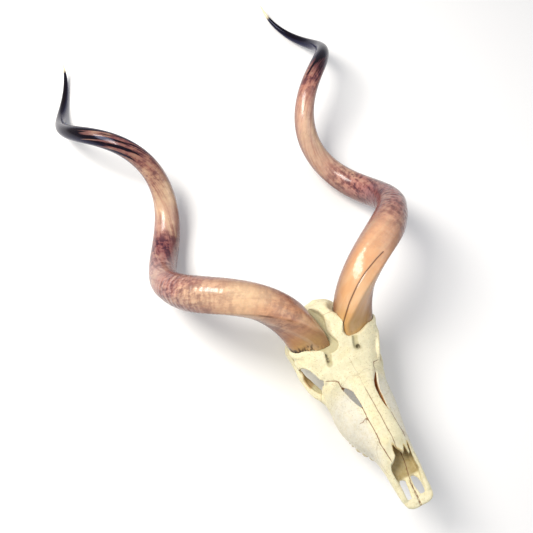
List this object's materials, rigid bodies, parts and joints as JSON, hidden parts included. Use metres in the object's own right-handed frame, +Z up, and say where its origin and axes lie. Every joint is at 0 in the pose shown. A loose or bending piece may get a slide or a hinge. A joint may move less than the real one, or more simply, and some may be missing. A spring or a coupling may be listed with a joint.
{
  "type": "kudu skull",
  "caption": "Bleached antelope cranium without its lower jaw, with long polished spiral horns swept back and out, lying nose up on the back of the skull and the low bends of the horns.",
  "frame": {"origin": "middle of the footprint, on the surface that the skull and horns lie on", "axes": "+Z up as it lies, -Y towards the tip of the muzzle, +X towards the animal's left; the skull is leaned back by about 25 degrees, nose up"},
  "size_m": [0.6684, 1.2084, 0.2305],
  "materials": {
    "bone": "bleached dry bone",
    "horn": "polished keratin",
    "enamel": "worn cheek teeth"
  },
  "bodies": {
    "root": {"skull": "bone", "horn_left": "horn", "horn_right": "horn", "left_premolar_2": "enamel", "left_premolar_3": "enamel", "left_premolar_4": "enamel", "left_molar_1": "enamel", "left_molar_2": "enamel", "left_molar_3": "enamel", "right_premolar_2": "enamel", "right_premolar_3": "enamel", "right_premolar_4": "enamel", "right_molar_1": "enamel", "right_molar_2": "enamel", "right_molar_3": "enamel"}
  },
  "joints": []
}
